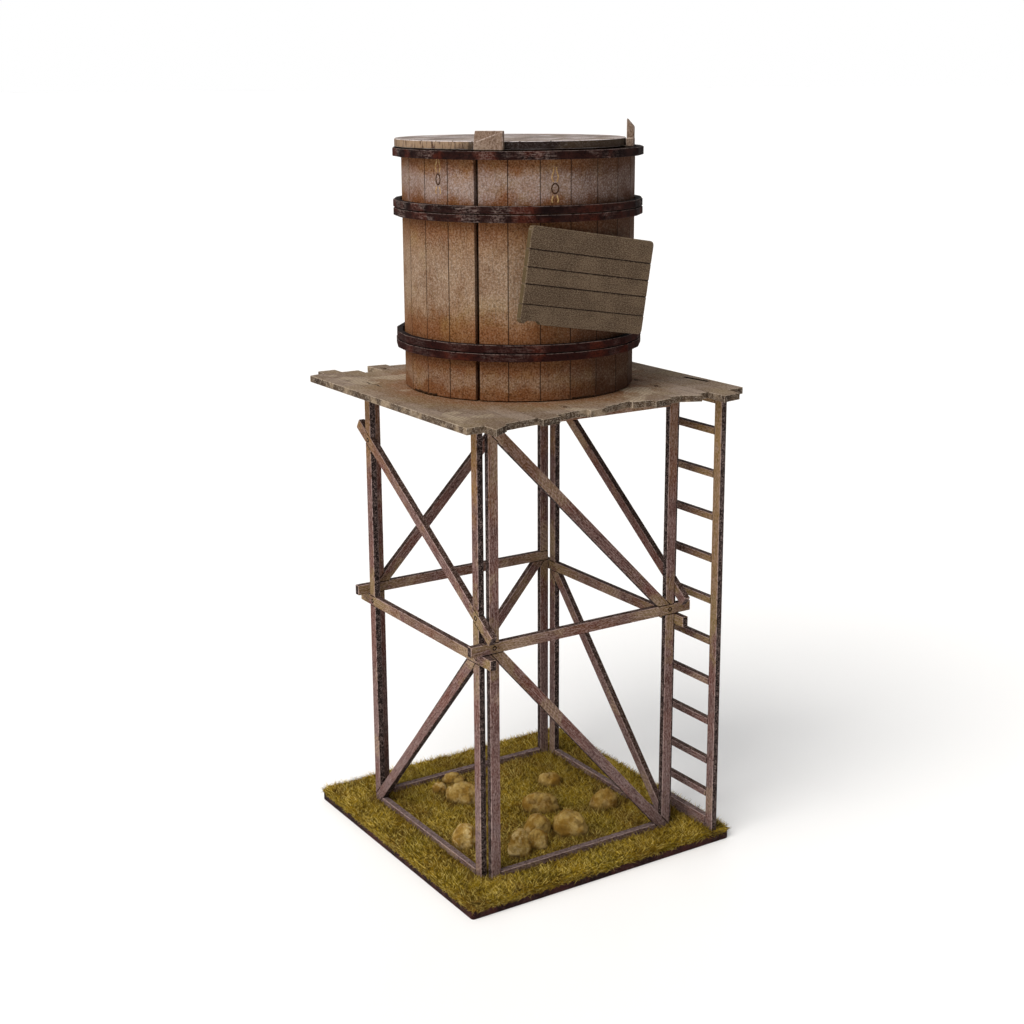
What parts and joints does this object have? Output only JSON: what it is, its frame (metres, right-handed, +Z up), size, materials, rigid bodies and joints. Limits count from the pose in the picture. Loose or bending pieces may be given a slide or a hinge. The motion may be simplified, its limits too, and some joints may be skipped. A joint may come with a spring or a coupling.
{
  "type": "model water tower",
  "caption": "Table-top model of a timber water tower: braced stand with a ladder, a plank deck and a staved tank with hoops and a lid, on a square grassy base.",
  "frame": {"origin": "on the tower's upright axis, midway between its four side frames, at the underside of the base", "axes": "+Z up; -Y is the side with the signboard; +X is the side with the ladder"},
  "size_m": [0.1046, 0.114, 0.2379],
  "materials": {
    "base_board": "board painted near black-brown on its cut edge",
    "base_grass": "mat of short dry grass fibres, straw to olive",
    "frame_wood": "dark weathered timber, paint dry-brushed grey on the edges",
    "deck_wood": "grey-beige weathered planks with rust stains",
    "ladder_wood": "dark weathered timber, paint dry-brushed grey on the edges",
    "tank_wood": "warm brown staves, worn grey, rust stained near the hoops",
    "lid_wood": "weathered grey-brown boards",
    "hoop_wood": "board painted as dark rusty iron",
    "sign_wood": "weathered grey-olive boards, bare",
    "stone": "painted sandstone, dark in the cracks"
  },
  "bodies": {
    "root": {"base_plate": "base_board", "grass_border": "base_grass", "grass_inside": "base_grass", "front_frame": "frame_wood", "right_frame": "frame_wood", "back_frame": "frame_wood", "left_frame": "frame_wood", "deck": "deck_wood", "ladder": "ladder_wood", "tank_wall": "tank_wood", "tank_floor": "tank_wood", "tank_lid": "lid_wood", "lid_tab_front": "lid_wood", "lid_tab_right": "lid_wood", "hoop_top": "hoop_wood", "hoop_middle_upper": "hoop_wood", "hoop_middle_lower": "hoop_wood", "hoop_lower_upper": "hoop_wood", "hoop_lower_lower": "hoop_wood", "signboard": "sign_wood", "stone_01": "stone", "stone_02": "stone", "stone_03": "stone", "stone_04": "stone", "stone_05": "stone", "stone_06": "stone", "stone_07": "stone", "stone_08": "stone", "stone_09": "stone", "stone_10": "stone", "stone_11": "stone"}
  },
  "joints": []
}
